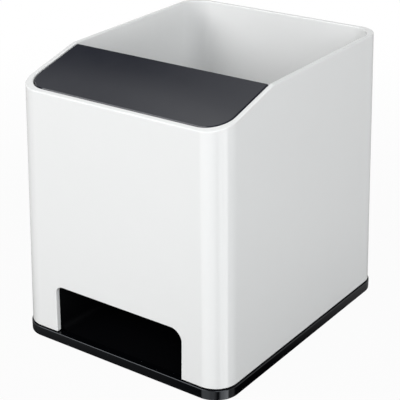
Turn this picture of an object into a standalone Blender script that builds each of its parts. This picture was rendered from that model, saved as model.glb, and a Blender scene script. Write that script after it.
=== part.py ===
"""Pen holder for a desk, with a horn inside that throws a phone's sound out of a mouth in its front.

A white drafted shell stands on a black base tray. A dark deck closes the shell's sloping front part, a
partition under the deck's back edge makes the pen compartment behind it, and the horn runs from a window
in the partition's foot to the mouth. Metres, +Z up, front (the mouth) towards -Y. The origin lies on the
table, under the middle of the base. Nothing moves.
"""

import math

import bmesh
import bpy
from mathutils import Matrix, Vector

# Base tray
BASE_WIDTH = 0.0880
BASE_DEPTH = 0.1055
BASE_HEIGHT = 0.0037
BASE_CORNER = 0.0089
BASE_FLOOR = 0.0020
BASE_RIM = 0.0030
BASE_EDGE = 0.0003
BASE_STEP = 0.00045
TAB_HEIGHT = 0.0030
TAB_THICKNESS = 0.0012
TAB_BERTH = 0.0040

# Shell, whose rim falls gently from the back to the ridge and steeply from the ridge to the front
HEIGHT = 0.1018
RIDGE_DROP = 0.0012
FRONT_DROP = 0.0081
RIDGE_FROM_FRONT = 0.0316
WALL = 0.0018
DRAFT = math.radians(1.25)
RIM_ROUNDING = 0.0005
MOUTH_WIDTH = 0.0543
MOUTH_TOP = 0.02265
MOUTH_LEFT_CORNER = 0.0030
MOUTH_RIGHT_CORNER = 0.0045

# Fits: between pieces that touch, and past a face that a cutter goes through
GAP = 0.0003
OVERRUN = 0.0050

# Deck
DECK_THICKNESS = 0.0020
DECK_RECESS = 0.0001
DECK_GAP = 0.00045
DECK_ROUNDING = 0.0003
DECK_RIB_HEIGHT = 0.0040
LEDGE_WIDTH = 0.0018
LEDGE_THICKNESS = 0.0015
HOOK_WIDTH = 0.0040
HOOK_THICKNESS = 0.0012
HOOK_BARB = 0.0008
HOOK_BARB_HEIGHT = 0.0015
HOOK_BERTH = 0.0015

# Partition and the rails that hold it
PARTITION_THICKNESS = 0.0018
RAIL_THICKNESS = 0.0012
RAIL_DEPTH = 0.0020
RAIL_DROP = 0.0160

# Pen floor
PEN_FLOOR_THICKNESS = 0.0016
PEN_RIB = 0.0012
PEN_RIB_SPACING = 0.0440
PEN_RIB_BERTH = 0.0030
PHONE_STOP_HEIGHT = 0.0020
PHONE_STOP_WIDTH = 0.0020
PHONE_STOP_LENGTH = 0.0600
PHONE_SPACE = 0.0120
REAR_STOP_WIDTH = 0.0060
REAR_STOP_DEPTH = 0.0010
REAR_STOP_HEIGHT = 0.0050
REAR_STOP_FROM_BACK = 0.0160

# Horn
THROAT_WIDTH = 0.0300
THROAT_HEIGHT = 0.0080
THROAT_CORNER = 0.0015
THROAT_SILL = 0.0006
HORN_WALL = 0.0012
HORN_FLANGE = 0.0015
HORN_FLANGE_WIDTH = 0.0040
HORN_WEB = 0.0015
HORN_BOSS_HEIGHT = 0.0085
HORN_SCREW_OUTSET = 0.0034
HORN_SCREW_BERTH = 0.0060

# Screws, their bosses and posts
SHANK_RADIUS = 0.0012
SHANK_LENGTH = 0.0065
SHANK_TIP = 0.0010
HEAD_RADIUS = 0.0025
HEAD_HEIGHT = 0.0016
HEAD_DOME = 0.0005
CROSS_LENGTH = 0.0030
CROSS_WIDTH = 0.0007
CROSS_DEPTH = 0.0008
COUNTERBORE = 0.0022
BOSS_RADIUS = 0.0030
BOSS_INSET = 0.0044
BOSS_CAP = 0.0010
POST_RADIUS = 0.0042
GUSSET = 0.0012
GUSSET_DROP = 0.0010

# Rubber feet, each placed inwards from the base screw of its corner
FOOT_RADIUS = 0.0050
FOOT_REVEAL = 0.0006
FOOT_RECESS = 0.0010
FOOT_EDGE = 0.0003
FOOT_INSET_X = 0.0105
FOOT_INSET_Y = 0.0050

# Facets
CORNER_SEGMENTS = 8
ROUND_SEGMENTS = 24
EDGE_SEGMENTS = 2
HORN_STATIONS = 9
HORN_CORNER_SEGMENTS = 3
ROUND_PROFILE = 0.5
EDGE_ANGLE = math.radians(40)
SMOOTH_ANGLE = math.radians(35)
MERGE_DISTANCE = 0.000005

# Worked out from the sizes above
SHELL_WIDTH = BASE_WIDTH - 2 * BASE_STEP
SHELL_DEPTH = BASE_DEPTH - 2 * BASE_STEP
SHELL_CORNER = BASE_CORNER - BASE_STEP
BASE_TOP = FOOT_REVEAL + BASE_HEIGHT
BASE_INSIDE = FOOT_REVEAL + BASE_FLOOR
SHELL_FLOOR = BASE_TOP + GAP
RIDGE_HEIGHT = HEIGHT - RIDGE_DROP
FRONT_HEIGHT = RIDGE_HEIGHT - FRONT_DROP
RIDGE_Y = RIDGE_FROM_FRONT - BASE_DEPTH / 2
HEAD_BEARING = FOOT_REVEAL + COUNTERBORE - GAP
SHANK_END = HEAD_BEARING + SHANK_LENGTH
BOSS_TOP = SHANK_END + GAP + BOSS_CAP
BOSS_X = SHELL_WIDTH / 2 - WALL - BOSS_INSET
BOSS_Y = SHELL_DEPTH / 2 - WALL - BOSS_INSET
PEN_FLOOR_LOW = BOSS_TOP + GAP
PEN_FLOOR_TOP = PEN_FLOOR_LOW + PEN_FLOOR_THICKNESS
PARTITION_BACK = RIDGE_Y - GAP
PARTITION_FRONT = PARTITION_BACK - PARTITION_THICKNESS
RAIL_FRONT = PARTITION_FRONT - GAP - RAIL_THICKNESS
RAIL_BACK = PARTITION_BACK + GAP + RAIL_THICKNESS
DECK_LOW = -DECK_RECESS - DECK_THICKNESS
LEDGE_TOP = DECK_LOW - GAP
LEDGE_LOW = LEDGE_TOP - LEDGE_THICKNESS
BARB_TOP = LEDGE_LOW - GAP
THROAT_LOW = PEN_FLOOR_TOP + THROAT_SILL
HORN_BACK = PARTITION_FRONT - GAP
HORN_FRONT = BASE_RIM + GAP - BASE_DEPTH / 2
HORN_MOUTH_LOW = BASE_INSIDE + GAP + HORN_WALL
HORN_MOUTH_TOP = MOUTH_TOP + GAP
HORN_MOUTH_WIDTH = MOUTH_WIDTH + 2 * GAP
HORN_MOUTH_CORNER = min(MOUTH_LEFT_CORNER, MOUTH_RIGHT_CORNER)
HORN_SCREW_X = HORN_MOUTH_WIDTH / 2 + HORN_SCREW_OUTSET
HORN_SCREW_Y = PARTITION_FRONT - HORN_SCREW_BERTH
FOOT_X = BOSS_X - FOOT_INSET_X
FOOT_Y = BOSS_Y - FOOT_INSET_Y
BEYOND = BASE_DEPTH

CORNER_NAMES = ("front_left", "front_right", "back_left", "back_right")


def lean(z):
    """How far the drafted walls have moved in at a height."""
    return (z - SHELL_FLOOR) * math.tan(DRAFT)


def front_slope():
    """The angle of the rim and the deck in front of the ridge."""
    front_y = lean(FRONT_HEIGHT) - SHELL_DEPTH / 2
    return math.atan2(RIDGE_HEIGHT - FRONT_HEIGHT, RIDGE_Y - front_y)


def back_slope():
    """The angle of the rim behind the ridge."""
    back_y = SHELL_DEPTH / 2 - lean(HEIGHT)
    return math.atan2(HEIGHT - RIDGE_HEIGHT, back_y - RIDGE_Y)


def ridge_frame():
    """A frame on the ridge line whose XY plane is the rim in front of it."""
    return Matrix.Translation((0, RIDGE_Y, RIDGE_HEIGHT)) @ Matrix.Rotation(front_slope(), 4, "X")


def clear_scene():
    for obj in list(bpy.data.objects):
        bpy.data.objects.remove(obj)


def new_collection(name):
    collection = bpy.data.collections.new(name)
    bpy.context.scene.collection.children.link(collection)
    return collection


def new_material(name, colour, roughness, metallic=0.0, coat=0.0):
    material = bpy.data.materials.new(name)
    material.use_nodes = True
    shader = material.node_tree.nodes["Principled BSDF"]
    shader.inputs["Base Color"].default_value = (*colour, 1.0)
    shader.inputs["Roughness"].default_value = roughness
    shader.inputs["Metallic"].default_value = metallic
    shader.inputs["Coat Weight"].default_value = coat
    return material


def mesh_from(bm, name):
    bmesh.ops.recalc_face_normals(bm, faces=bm.faces)
    mesh = bpy.data.meshes.new(name)
    bm.to_mesh(mesh)
    bm.free()
    mesh.shade_smooth()
    mesh.set_sharp_from_angle(angle=SMOOTH_ANGLE)
    return mesh


def object_from(bm, name, collection):
    obj = bpy.data.objects.new(name, mesh_from(bm, name))
    collection.objects.link(obj)
    return obj


def tool_from(bm, name):
    """A closed shape that only cuts or joins, kept out of the part."""
    obj = object_from(bm, name, tools)
    obj.hide_render = True
    obj.display_type = "WIRE"
    return obj


def add_box(bm, low, high):
    """A box between two corners; returns its vertices."""
    low, high = Vector(low), Vector(high)
    place = Matrix.Translation((low + high) / 2) @ Matrix.Diagonal((*(high - low), 1))
    return bmesh.ops.create_cube(bm, size=1, matrix=place)["verts"]


def add_cylinder(bm, x, y, low, high, radius):
    """An upright cylinder between two heights."""
    place = Matrix.Translation((x, y, (low + high) / 2))
    bmesh.ops.create_cone(
        bm, cap_ends=True, segments=ROUND_SEGMENTS, radius1=radius, radius2=radius,
        depth=high - low, matrix=place,
    )


def round_off(bm, edges, radius, segments):
    bmesh.ops.bevel(
        bm, geom=edges, offset=radius, segments=segments, profile=ROUND_PROFILE, affect="EDGES"
    )


def rounded_block(width, depth, corner, low, high, draft=0.0):
    """A block with rounded upright edges, whose sides lean in from its size at the shell's floor."""
    bm = bmesh.new()
    verts = add_box(bm, (-width / 2, -depth / 2, low), (width / 2, depth / 2, high))
    for vert in verts:
        inward = (vert.co.z - SHELL_FLOOR) * math.tan(draft)
        vert.co.x -= math.copysign(inward, vert.co.x)
        vert.co.y -= math.copysign(inward, vert.co.y)
    upright = [e for e in bm.edges if abs(e.verts[0].co.z - e.verts[1].co.z) > GAP]
    round_off(bm, upright, corner, CORNER_SEGMENTS)
    return bm


def shell_form(inset, low, high):
    """The shell's outer form moved in by inset, between two heights."""
    width, depth = SHELL_WIDTH - 2 * inset, SHELL_DEPTH - 2 * inset
    return rounded_block(width, depth, SHELL_CORNER - inset, low, high, DRAFT)


def box_tool(name, low, high, frame=None):
    bm = bmesh.new()
    add_box(bm, low, high)
    if frame is not None:
        bmesh.ops.transform(bm, matrix=frame, verts=bm.verts)
    return tool_from(bm, name)


def boolean(obj, tool, operation):
    modifier = obj.modifiers.new(tool.name, "BOOLEAN")
    modifier.object = tool
    modifier.operation = operation
    modifier.solver = "EXACT"


def round_edges(obj, width):
    """Round the sharp edges that the object has at this point of its modifiers."""
    modifier = obj.modifiers.new("rounded_edges", "BEVEL")
    modifier.width = width
    modifier.segments = EDGE_SEGMENTS
    modifier.limit_method = "ANGLE"
    modifier.angle_limit = EDGE_ANGLE


def inside_shell(name, clearance):
    """The room inside the shell's walls, less a clearance all round, as a tool."""
    return tool_from(shell_form(WALL + clearance, -OVERRUN, HEIGHT + OVERRUN), name)


def wall_rail(name, low, high, proud, frame=None):
    """Ribs inside the shell: what of a box lies between the walls and a line that stands proud of them."""
    rail = box_tool(name, low, high, frame)
    boolean(rail, inside_shell(name + "_in_wall", -WALL / 2), "INTERSECT")
    boolean(rail, inside_shell(name + "_clear", proud), "DIFFERENCE")
    return rail


def boss_places():
    return [(x, y) for y in (-BOSS_Y, BOSS_Y) for x in (-BOSS_X, BOSS_X)]


def horn_screw_places():
    return [(-HORN_SCREW_X, HORN_SCREW_Y), (HORN_SCREW_X, HORN_SCREW_Y)]


def foot_places():
    return [(x, y) for y in (-FOOT_Y, FOOT_Y) for x in (-FOOT_X, FOOT_X)]


def above_rim():
    """Everything above the rim, which is one plane in front of the ridge and another behind it."""
    bm = bmesh.new()
    add_box(bm, (-BEYOND, -BEYOND, RIDGE_HEIGHT), (BEYOND, BEYOND, HEIGHT + BEYOND))
    box = bm.verts[:] + bm.edges[:] + bm.faces[:]
    bmesh.ops.bisect_plane(bm, geom=box, plane_co=(0, RIDGE_Y, 0), plane_no=(0, 1, 0))
    for vert in bm.verts:
        if vert.co.z < RIDGE_HEIGHT + GAP:
            slope = front_slope() if vert.co.y < RIDGE_Y else back_slope()
            vert.co.z += (vert.co.y - RIDGE_Y) * math.tan(slope)
    return tool_from(bm, "above_rim")


def mouth_tool():
    """The mouth's outline, open downwards, through the front wall."""
    bm = bmesh.new()
    half = MOUTH_WIDTH / 2
    front = -SHELL_DEPTH / 2 - OVERRUN
    back = -SHELL_DEPTH / 2 + WALL + OVERRUN
    add_box(bm, (-half, front, SHELL_FLOOR - OVERRUN), (half, back, MOUTH_TOP))
    for side, radius in ((-1, MOUTH_LEFT_CORNER), (1, MOUTH_RIGHT_CORNER)):
        corner = [v for v in bm.verts if v.co.z > SHELL_FLOOR and v.co.x * side > half - GAP]
        round_off(bm, [e for e in bm.edges if all(v in corner for v in e.verts)], radius, CORNER_SEGMENTS)
    return tool_from(bm, "mouth_opening")


def shell_bosses():
    bm = bmesh.new()
    for x, y in boss_places():
        add_cylinder(bm, x, y, SHELL_FLOOR, BOSS_TOP, BOSS_RADIUS)
    return tool_from(bm, "shell_bosses")


def shell_gussets():
    """Thin webs that tie each screw boss to the two walls of its corner."""
    bm = bmesh.new()
    low, high = SHELL_FLOOR + GUSSET_DROP, BOSS_TOP - GUSSET_DROP
    start, reach = BOSS_RADIUS - GUSSET / 2, BOSS_INSET + WALL / 2
    for x, y in boss_places():
        side_x, side_y = math.copysign(1, x), math.copysign(1, y)
        ends = sorted((x + side_x * start, x + side_x * reach))
        add_box(bm, (ends[0], y - GUSSET / 2, low), (ends[1], y + GUSSET / 2, high))
        ends = sorted((y + side_y * start, y + side_y * reach))
        add_box(bm, (x - GUSSET / 2, ends[0], low), (x + GUSSET / 2, ends[1], high))
    return tool_from(bm, "shell_gussets")


def screw_bores(name, places):
    """Blind bores for the screws' shanks, open downwards."""
    bm = bmesh.new()
    for x, y in places:
        add_cylinder(bm, x, y, SHELL_FLOOR - OVERRUN, SHANK_END + GAP, SHANK_RADIUS + GAP)
    return tool_from(bm, name)


def deck_ledge():
    """The shelf that the deck rests on, round the shell's front and along its sides."""
    low = (-BEYOND, -BEYOND, LEDGE_LOW)
    high = (BEYOND, RAIL_FRONT - RIDGE_Y, LEDGE_TOP)
    return wall_rail("deck_ledge", low, high, LEDGE_WIDTH, ridge_frame())


def partition_rails(name, front, back):
    """A pair of upright ribs, one on each side wall."""
    low = (-BEYOND, front, PEN_FLOOR_TOP + GAP)
    high = (BEYOND, back, RIDGE_HEIGHT - RAIL_DROP)
    return wall_rail(name, low, high, RAIL_DEPTH)


def rear_stops():
    """Short ribs on the side walls that keep the pen floor from lifting at the back."""
    back = SHELL_DEPTH / 2 - REAR_STOP_FROM_BACK
    low = PEN_FLOOR_TOP + GAP
    return wall_rail(
        "rear_stops", (-BEYOND, back - REAR_STOP_WIDTH, low), (BEYOND, back, low + REAR_STOP_HEIGHT),
        REAR_STOP_DEPTH,
    )


def make_outer_shell(material):
    shell = object_from(shell_form(0, SHELL_FLOOR, HEIGHT + OVERRUN), "outer_shell", parts)
    boolean(shell, above_rim(), "DIFFERENCE")
    cavity = shell_form(WALL, SHELL_FLOOR - OVERRUN, HEIGHT + 2 * OVERRUN)
    boolean(shell, tool_from(cavity, "cavity"), "DIFFERENCE")
    boolean(shell, mouth_tool(), "DIFFERENCE")
    round_edges(shell, RIM_ROUNDING)
    boolean(shell, shell_bosses(), "UNION")
    boolean(shell, shell_gussets(), "UNION")
    boolean(shell, deck_ledge(), "UNION")
    boolean(shell, partition_rails("rails_front", RAIL_FRONT, PARTITION_FRONT - GAP), "UNION")
    boolean(shell, partition_rails("rails_back", PARTITION_BACK + GAP, RAIL_BACK), "UNION")
    boolean(shell, rear_stops(), "UNION")
    boolean(shell, screw_bores("shell_bores", boss_places()), "DIFFERENCE")
    shell.data.materials.append(material)


def hook_reach():
    """How far from the middle the hooks' outer faces stand."""
    return SHELL_WIDTH / 2 - WALL - lean(RIDGE_HEIGHT) - LEDGE_WIDTH - GAP


def hook_places():
    """The front edge of each hook in the deck's sloping frame, and its side."""
    front = (SHELL_CORNER + WALL - SHELL_DEPTH / 2 - RIDGE_Y) / math.cos(front_slope()) + HOOK_BERTH
    back = RAIL_FRONT - RIDGE_Y - HOOK_BERTH - HOOK_WIDTH
    return [(y, side) for y in (front, back) for side in (-1, 1)]


def deck_hooks():
    """Four legs that reach down past the shell's ledge."""
    bm = bmesh.new()
    low, high = BARB_TOP - HOOK_BARB_HEIGHT, DECK_LOW + DECK_THICKNESS / 2
    for y, side in hook_places():
        x = sorted((side * (hook_reach() - HOOK_THICKNESS), side * hook_reach()))
        add_box(bm, (x[0], y, low), (x[1], y + HOOK_WIDTH, high))
    bmesh.ops.transform(bm, matrix=ridge_frame(), verts=bm.verts)
    return tool_from(bm, "deck_hooks")


def deck_barbs():
    """The wedge on each hook, flat where it catches under the ledge and sloping below."""
    bm = bmesh.new()
    inset = HOOK_THICKNESS / 4
    for y, side in hook_places():
        x = sorted((side * (hook_reach() - HOOK_THICKNESS / 2), side * (hook_reach() + HOOK_BARB)))
        low = (x[0], y + inset, BARB_TOP - HOOK_BARB_HEIGHT + inset)
        verts = add_box(bm, low, (x[1], y + HOOK_WIDTH - inset, BARB_TOP))
        for vert in verts:
            if vert.co.z < BARB_TOP - inset and abs(vert.co.x) > hook_reach():
                vert.co.x = side * (hook_reach() - inset)
    bmesh.ops.transform(bm, matrix=ridge_frame(), verts=bm.verts)
    return tool_from(bm, "deck_barbs")


def deck_rib():
    """A stiffening rib across the deck's underside, just in front of the partition's top."""
    slope = front_slope()
    half = hook_reach() - HOOK_THICKNESS - GAP
    back = PARTITION_FRONT - GAP
    surface = RIDGE_HEIGHT - (RIDGE_Y - back) * math.tan(slope)
    low = surface + DECK_LOW / math.cos(slope) - DECK_RIB_HEIGHT
    high = surface + (DECK_LOW + DECK_THICKNESS / 2) / math.cos(slope)
    return box_tool("deck_rib", (-half, back - RAIL_THICKNESS, low), (half, back, high))


def make_deck_panel(material):
    bm = bmesh.new()
    add_box(bm, (-BEYOND, -BEYOND, DECK_LOW), (BEYOND, 0, -DECK_RECESS))
    bmesh.ops.transform(bm, matrix=ridge_frame(), verts=bm.verts)
    deck = object_from(bm, "deck_panel", parts)
    boolean(deck, inside_shell("deck_outline", DECK_GAP), "INTERSECT")
    round_edges(deck, DECK_ROUNDING)
    boolean(deck, deck_hooks(), "UNION")
    boolean(deck, deck_barbs(), "UNION")
    boolean(deck, deck_rib(), "UNION")
    deck.data.materials.append(material)


def partition_foot():
    """The narrower lower edge that stands inside the tray's rim."""
    half = BASE_WIDTH / 2 - BASE_RIM - GAP
    low = (-half, PARTITION_FRONT, BASE_INSIDE + GAP)
    return box_tool("partition_foot", low, (half, PARTITION_BACK, SHELL_FLOOR + PARTITION_THICKNESS))


def make_partition(material):
    bm = bmesh.new()
    add_box(bm, (-BEYOND, PARTITION_FRONT, SHELL_FLOOR), (BEYOND, PARTITION_BACK, RIDGE_HEIGHT))
    partition = object_from(bm, "partition_wall", parts)
    boolean(partition, inside_shell("partition_outline", GAP), "INTERSECT")
    boolean(partition, partition_foot(), "UNION")
    deck_room = box_tool(
        "deck_room", (-BEYOND, -BEYOND, LEDGE_TOP), (BEYOND, BEYOND, BEYOND), ridge_frame()
    )
    boolean(partition, deck_room, "DIFFERENCE")
    window = box_tool(
        "sound_window",
        (-THROAT_WIDTH / 2, PARTITION_FRONT - OVERRUN, THROAT_LOW),
        (THROAT_WIDTH / 2, PARTITION_BACK + OVERRUN, THROAT_LOW + THROAT_HEIGHT),
    )
    boolean(partition, window, "DIFFERENCE")
    partition.data.materials.append(material)


def pen_floor_ribs():
    """Two long ribs that stand on the base tray."""
    bm = bmesh.new()
    front = PARTITION_BACK + GAP + PEN_RIB_BERTH
    back = SHELL_DEPTH / 2 - WALL - TAB_THICKNESS - PEN_RIB_BERTH
    for x in (-PEN_RIB_SPACING / 2, PEN_RIB_SPACING / 2):
        low = (x - PEN_RIB / 2, front, BASE_INSIDE + GAP)
        add_box(bm, low, (x + PEN_RIB / 2, back, PEN_FLOOR_LOW + PEN_FLOOR_THICKNESS / 2))
    return tool_from(bm, "pen_floor_ribs")


def phone_stop():
    """A low ridge that keeps a phone's lower edge at the window."""
    front = PARTITION_BACK + PHONE_SPACE
    low = (-PHONE_STOP_LENGTH / 2, front, PEN_FLOOR_LOW + PEN_FLOOR_THICKNESS / 2)
    high = (PHONE_STOP_LENGTH / 2, front + PHONE_STOP_WIDTH, PEN_FLOOR_TOP + PHONE_STOP_HEIGHT)
    return box_tool("phone_stop", low, high)


def make_pen_floor(material):
    bm = bmesh.new()
    add_box(bm, (-BEYOND, PARTITION_BACK + GAP, PEN_FLOOR_LOW), (BEYOND, BEYOND, PEN_FLOOR_TOP))
    floor = object_from(bm, "pen_floor", parts)
    boolean(floor, inside_shell("pen_floor_outline", GAP), "INTERSECT")
    boolean(floor, pen_floor_ribs(), "UNION")
    boolean(floor, phone_stop(), "UNION")
    floor.data.materials.append(material)


def horn_section(share, outward):
    """The duct's outline at a share of the way from its throat to its mouth, moved outward by a wall."""
    throat_middle = THROAT_LOW + THROAT_HEIGHT / 2
    mouth_middle = (HORN_MOUTH_LOW + HORN_MOUTH_TOP) / 2
    mouth_height = HORN_MOUTH_TOP - HORN_MOUTH_LOW
    half_width = THROAT_WIDTH / 2 * (HORN_MOUTH_WIDTH / THROAT_WIDTH) ** share + outward
    half_height = THROAT_HEIGHT / 2 * (mouth_height / THROAT_HEIGHT) ** share + outward
    corner = THROAT_CORNER + (HORN_MOUTH_CORNER - THROAT_CORNER) * share + outward
    middle = throat_middle + (mouth_middle - throat_middle) * share
    points = []
    for quarter, (side_x, side_z) in enumerate(((1, 1), (-1, 1), (-1, -1), (1, -1))):
        for step in range(HORN_CORNER_SEGMENTS + 1):
            angle = math.pi / 2 * (quarter + step / HORN_CORNER_SEGMENTS)
            x = side_x * (half_width - corner) + corner * math.cos(angle)
            z = middle + side_z * (half_height - corner) + corner * math.sin(angle)
            points.append((x, z))
    return points


def add_duct(bm, outward, front_run, back_run):
    """A closed loft along the horn, run on straight past its two ends."""
    shares = [station / (HORN_STATIONS - 1) for station in range(HORN_STATIONS)]
    stations = [(HORN_BACK + (HORN_FRONT - HORN_BACK) * share, share) for share in shares]
    if back_run:
        stations.insert(0, (HORN_BACK + back_run, 0))
    if front_run:
        stations.append((HORN_FRONT - front_run, 1))
    rings = [[bm.verts.new((x, y, z)) for x, z in horn_section(share, outward)] for y, share in stations]
    for near, far in zip(rings, rings[1:]):
        for i, corner in enumerate(near):
            bm.faces.new((corner, near[i - 1], far[i - 1], far[i]))
    bm.faces.new(rings[0])
    bm.faces.new(reversed(rings[-1]))


def horn_flanges():
    """The plate behind the front wall round the mouth, and the one on the partition round the throat."""
    bm = bmesh.new()
    half = HORN_MOUTH_WIDTH / 2 + HORN_FLANGE_WIDTH
    front = -SHELL_DEPTH / 2
    back = front + WALL + lean(HORN_MOUTH_TOP + HORN_FLANGE_WIDTH) + GAP + HORN_FLANGE
    add_box(bm, (-half, front, SHELL_FLOOR), (half, back, HORN_MOUTH_TOP + HORN_FLANGE_WIDTH))
    half = THROAT_WIDTH / 2 + HORN_FLANGE_WIDTH
    low = THROAT_LOW - HORN_FLANGE_WIDTH
    high = THROAT_LOW + THROAT_HEIGHT + HORN_FLANGE_WIDTH
    add_box(bm, (-half, HORN_BACK - HORN_FLANGE, low), (half, HORN_BACK, high))
    return tool_from(bm, "horn_flanges")


def horn_bosses():
    bm = bmesh.new()
    for x, y in horn_screw_places():
        add_cylinder(bm, x, y, SHELL_FLOOR, SHELL_FLOOR + HORN_BOSS_HEIGHT, BOSS_RADIUS)
    return tool_from(bm, "horn_bosses")


def horn_webs():
    """The upright webs that carry the horn on its two screw bosses."""
    bm = bmesh.new()
    low = SHELL_FLOOR + GUSSET_DROP
    high = SHELL_FLOOR + HORN_BOSS_HEIGHT - GUSSET_DROP
    for x, y in horn_screw_places():
        side = math.copysign(1, x)
        ends = sorted((side * THROAT_WIDTH / 4, x - side * (BOSS_RADIUS - HORN_WEB / 2)))
        add_box(bm, (ends[0], y - HORN_WEB / 2, low), (ends[1], y + HORN_WEB / 2, high))
    return tool_from(bm, "horn_webs")


def make_sound_horn(material):
    bm = bmesh.new()
    add_duct(bm, HORN_WALL, 0, 0)
    horn = object_from(bm, "sound_horn", parts)
    boolean(horn, horn_flanges(), "UNION")
    boolean(horn, horn_webs(), "UNION")
    boolean(horn, horn_bosses(), "UNION")
    boolean(horn, inside_shell("horn_room", GAP), "INTERSECT")
    bm = bmesh.new()
    add_duct(bm, 0, OVERRUN, OVERRUN)
    boolean(horn, tool_from(bm, "horn_passage"), "DIFFERENCE")
    boolean(horn, screw_bores("horn_bores", horn_screw_places()), "DIFFERENCE")
    horn.data.materials.append(material)


def base_posts():
    """Round posts in the tray that the screw bosses stand on."""
    bm = bmesh.new()
    for x, y in boss_places() + horn_screw_places():
        add_cylinder(bm, x, y, BASE_INSIDE - BASE_FLOOR / 2, BASE_TOP, POST_RADIUS)
    return tool_from(bm, "base_posts")


def base_tabs():
    """Upstands that centre the shell's side and back walls."""
    bm = bmesh.new()
    low, high = BASE_INSIDE - BASE_FLOOR / 2, BASE_TOP + TAB_HEIGHT
    out_x = SHELL_WIDTH / 2 - WALL - lean(high) - GAP
    out_y = SHELL_DEPTH / 2 - WALL - lean(high) - GAP
    corner_y = BOSS_Y - POST_RADIUS - TAB_BERTH
    corner_x = BOSS_X - POST_RADIUS - TAB_BERTH
    for side in (-1, 1):
        x = sorted((side * (out_x - TAB_THICKNESS), side * out_x))
        add_box(bm, (x[0], -corner_y, low), (x[1], RAIL_FRONT - TAB_BERTH, high))
        add_box(bm, (x[0], RAIL_BACK + TAB_BERTH, low), (x[1], corner_y, high))
    add_box(bm, (-corner_x, out_y - TAB_THICKNESS, low), (corner_x, out_y, high))
    return tool_from(bm, "base_tabs")


def base_holes():
    """Screw holes with their counterbores, and the recesses of the feet, from below."""
    shanks, heads = bmesh.new(), bmesh.new()
    for x, y in boss_places() + horn_screw_places():
        add_cylinder(shanks, x, y, FOOT_REVEAL, BASE_TOP + OVERRUN, SHANK_RADIUS + GAP)
        add_cylinder(heads, x, y, -OVERRUN, FOOT_REVEAL + COUNTERBORE, HEAD_RADIUS + GAP)
    for x, y in foot_places():
        add_cylinder(heads, x, y, -OVERRUN, FOOT_REVEAL + FOOT_RECESS, FOOT_RADIUS + GAP)
    return tool_from(shanks, "screw_holes"), tool_from(heads, "counterbores")


def make_base_tray(material):
    block = rounded_block(BASE_WIDTH, BASE_DEPTH, BASE_CORNER, FOOT_REVEAL, BASE_TOP)
    tray = object_from(block, "base_tray", parts)
    round_edges(tray, BASE_EDGE)
    width, depth = BASE_WIDTH - 2 * BASE_RIM, BASE_DEPTH - 2 * BASE_RIM
    pocket = rounded_block(width, depth, BASE_CORNER - BASE_RIM, BASE_INSIDE, BASE_TOP + OVERRUN)
    boolean(tray, tool_from(pocket, "tray_pocket"), "DIFFERENCE")
    boolean(tray, base_posts(), "UNION")
    boolean(tray, base_tabs(), "UNION")
    for holes in base_holes():
        boolean(tray, holes, "DIFFERENCE")
    tray.data.materials.append(material)


def screw_profile():
    """The screw's half outline from the tip of its shank down to the middle of its head."""
    return [
        (0, SHANK_LENGTH),
        (SHANK_RADIUS / 2, SHANK_LENGTH),
        (SHANK_RADIUS, SHANK_LENGTH - SHANK_TIP),
        (SHANK_RADIUS, 0),
        (HEAD_RADIUS, 0),
        (HEAD_RADIUS, HEAD_DOME - HEAD_HEIGHT),
        (HEAD_RADIUS - HEAD_DOME, -HEAD_HEIGHT),
        (0, -HEAD_HEIGHT),
    ]


def screw_mesh():
    """A pan-head screw, point up, with a cross recess in its head."""
    bm = bmesh.new()
    verts = [bm.verts.new((x, 0, z)) for x, z in screw_profile()]
    for pair in zip(verts, verts[1:]):
        bm.edges.new(pair)
    screw = object_from(bm, "screw_blank", tools)
    turn = screw.modifiers.new("turn", "SCREW")
    turn.steps = ROUND_SEGMENTS
    turn.render_steps = ROUND_SEGMENTS
    turn.use_merge_vertices = True
    turn.merge_threshold = MERGE_DISTANCE
    low, high = -HEAD_HEIGHT - OVERRUN, CROSS_DEPTH - HEAD_HEIGHT
    sizes = {"cross_x": (CROSS_LENGTH / 2, CROSS_WIDTH / 2), "cross_y": (CROSS_WIDTH / 2, CROSS_LENGTH / 2)}
    for name, (half_x, half_y) in sizes.items():
        boolean(screw, box_tool(name, (-half_x, -half_y, low), (half_x, half_y, high)), "DIFFERENCE")
    bpy.context.view_layer.update()
    mesh = bpy.data.meshes.new_from_object(screw.evaluated_get(bpy.context.evaluated_depsgraph_get()))
    mesh.name = "screw"
    mesh.set_sharp_from_angle(angle=SMOOTH_ANGLE)
    bpy.data.objects.remove(screw)
    return mesh


def make_screws(material):
    mesh = screw_mesh()
    mesh.materials.append(material)
    places = dict(zip(["base_screw_" + name for name in CORNER_NAMES], boss_places()))
    places.update(zip(["horn_screw_left", "horn_screw_right"], horn_screw_places()))
    for name, (x, y) in places.items():
        screw = bpy.data.objects.new(name, mesh)
        screw.location = (x, y, HEAD_BEARING)
        parts.objects.link(screw)


def make_feet(material):
    """Rubber discs set into the tray's underside, which the part stands on."""
    bm = bmesh.new()
    add_cylinder(bm, 0, 0, 0, FOOT_REVEAL + FOOT_RECESS - GAP, FOOT_RADIUS)
    rims = [e for e in bm.edges if abs(e.verts[0].co.z - e.verts[1].co.z) < FOOT_EDGE]
    round_off(bm, rims, FOOT_EDGE, EDGE_SEGMENTS)
    mesh = mesh_from(bm, "foot")
    mesh.materials.append(material)
    for name, (x, y) in zip(CORNER_NAMES, foot_places()):
        foot = bpy.data.objects.new("rubber_foot_" + name, mesh)
        foot.location = (x, y, 0)
        parts.objects.link(foot)


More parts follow.
